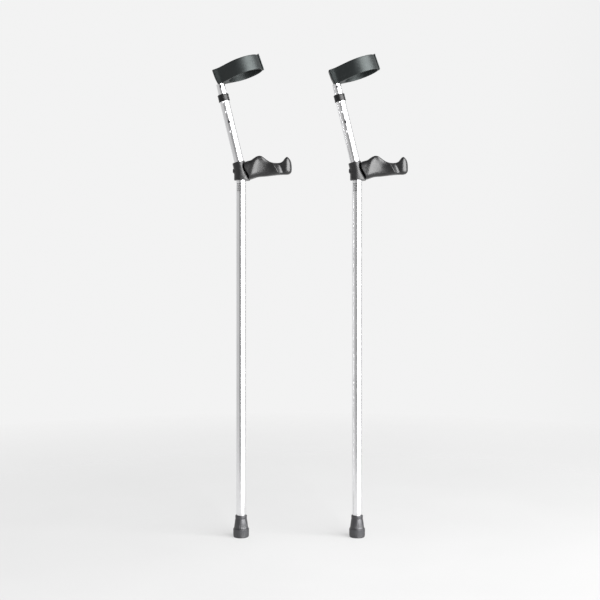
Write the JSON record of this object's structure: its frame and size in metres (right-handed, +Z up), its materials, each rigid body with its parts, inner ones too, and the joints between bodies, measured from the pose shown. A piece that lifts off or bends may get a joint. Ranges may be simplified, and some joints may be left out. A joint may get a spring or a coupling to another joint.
{
  "type": "forearm crutches",
  "caption": "Pair of forearm crutches with bent tubes, closed cuffs, anatomical handgrips, snap-button height setting and rubber ferrules.",
  "frame": {"origin": "centre of the sole of the left crutch's ferrule, on the floor", "axes": "+Z up along both leg tubes, +X forward along both handgrips and from the left crutch to the right one, +Y away from the side with the cuff height holes"},
  "size_m": [0.4831, 0.092, 1.1938],
  "materials": {
    "tube_aluminium": "satin anodised",
    "button_steel": "dark oxide",
    "spring_steel": "tempered spring steel",
    "zinc_steel": "zinc plated",
    "black_steel": "black zinc plated",
    "grip_plastic": "satin moulded charcoal",
    "cuff_plastic": "satin moulded black",
    "collar_plastic": "satin moulded black",
    "ferrule_rubber": "matt grey rubber"
  },
  "bodies": {
    "left_frame": {"left_outer_tube": "tube_aluminium", "left_grip_core": "grip_plastic", "left_grip_cover": "grip_plastic", "left_grip_bolt": "black_steel", "left_grip_nut": "zinc_steel", "left_collar": "collar_plastic"},
    "left_cuff_assembly": {"left_cuff_tube": "tube_aluminium", "left_cuff": "cuff_plastic", "left_cuff_rivet": "black_steel", "left_cuff_button_clip": "spring_steel"},
    "left_cuff_snap_button": {"left_cuff_button": "button_steel"},
    "left_leg": {"left_leg_tube": "tube_aluminium", "left_ferrule": "ferrule_rubber", "left_ferrule_washer": "zinc_steel", "left_leg_button_clip": "spring_steel"},
    "left_leg_snap_button": {"left_leg_button": "button_steel"},
    "right_frame": {"right_outer_tube": "tube_aluminium", "right_grip_core": "grip_plastic", "right_grip_cover": "grip_plastic", "right_grip_bolt": "black_steel", "right_grip_nut": "zinc_steel", "right_collar": "collar_plastic"},
    "right_cuff_assembly": {"right_cuff_tube": "tube_aluminium", "right_cuff": "cuff_plastic", "right_cuff_rivet": "black_steel", "right_cuff_button_clip": "spring_steel"},
    "right_cuff_snap_button": {"right_cuff_button": "button_steel"},
    "right_leg": {"right_leg_tube": "tube_aluminium", "right_ferrule": "ferrule_rubber", "right_ferrule_washer": "zinc_steel", "right_leg_button_clip": "spring_steel"},
    "right_leg_snap_button": {"right_leg_button": "button_steel"}
  },
  "joints": [
    {"name": "left_cuff_slide", "type": "slide", "parent": "left_frame", "child": "left_cuff_assembly", "axis": [-0.2351, 0, 0.972], "range_m": [-0.025, 0.05], "deforming": ["left_cuff_button"]},
    {"name": "left_cuff_button_press", "type": "slide", "parent": "left_cuff_assembly", "child": "left_cuff_snap_button", "axis": [0, 1, 0], "range_m": [0, 0.0029], "stiffness_N_per_m": 3000, "springref_m": -0.001, "deforming": ["left_cuff_button_clip"]},
    {"name": "left_leg_slide", "type": "slide", "parent": "left_frame", "child": "left_leg", "axis": [0, 0, -1], "range_m": [0, 0.225], "deforming": ["left_leg_button"]},
    {"name": "left_leg_button_press", "type": "slide", "parent": "left_leg", "child": "left_leg_snap_button", "axis": [0, -1, 0], "range_m": [0, 0.0029], "stiffness_N_per_m": 3000, "springref_m": -0.001, "deforming": ["left_leg_button_clip"]},
    {"name": "right_cuff_slide", "type": "slide", "parent": "right_frame", "child": "right_cuff_assembly", "axis": [-0.2351, 0, 0.972], "range_m": [-0.025, 0.05], "deforming": ["right_cuff_button"]},
    {"name": "right_cuff_button_press", "type": "slide", "parent": "right_cuff_assembly", "child": "right_cuff_snap_button", "axis": [0, 1, 0], "range_m": [0, 0.0029], "stiffness_N_per_m": 3000, "springref_m": -0.001, "deforming": ["right_cuff_button_clip"]},
    {"name": "right_leg_slide", "type": "slide", "parent": "right_frame", "child": "right_leg", "axis": [0, 0, -1], "range_m": [0, 0.225], "deforming": ["right_leg_button"]},
    {"name": "right_leg_button_press", "type": "slide", "parent": "right_leg", "child": "right_leg_snap_button", "axis": [0, -1, 0], "range_m": [0, 0.0029], "stiffness_N_per_m": 3000, "springref_m": -0.001, "deforming": ["right_leg_button_clip"]},
    {"name": "right_crutch_lift", "type": "slide", "parent": "left_frame", "child": "right_frame", "axis": [0, 0, 1], "range_m": [0, 0.3]}
  ]
}
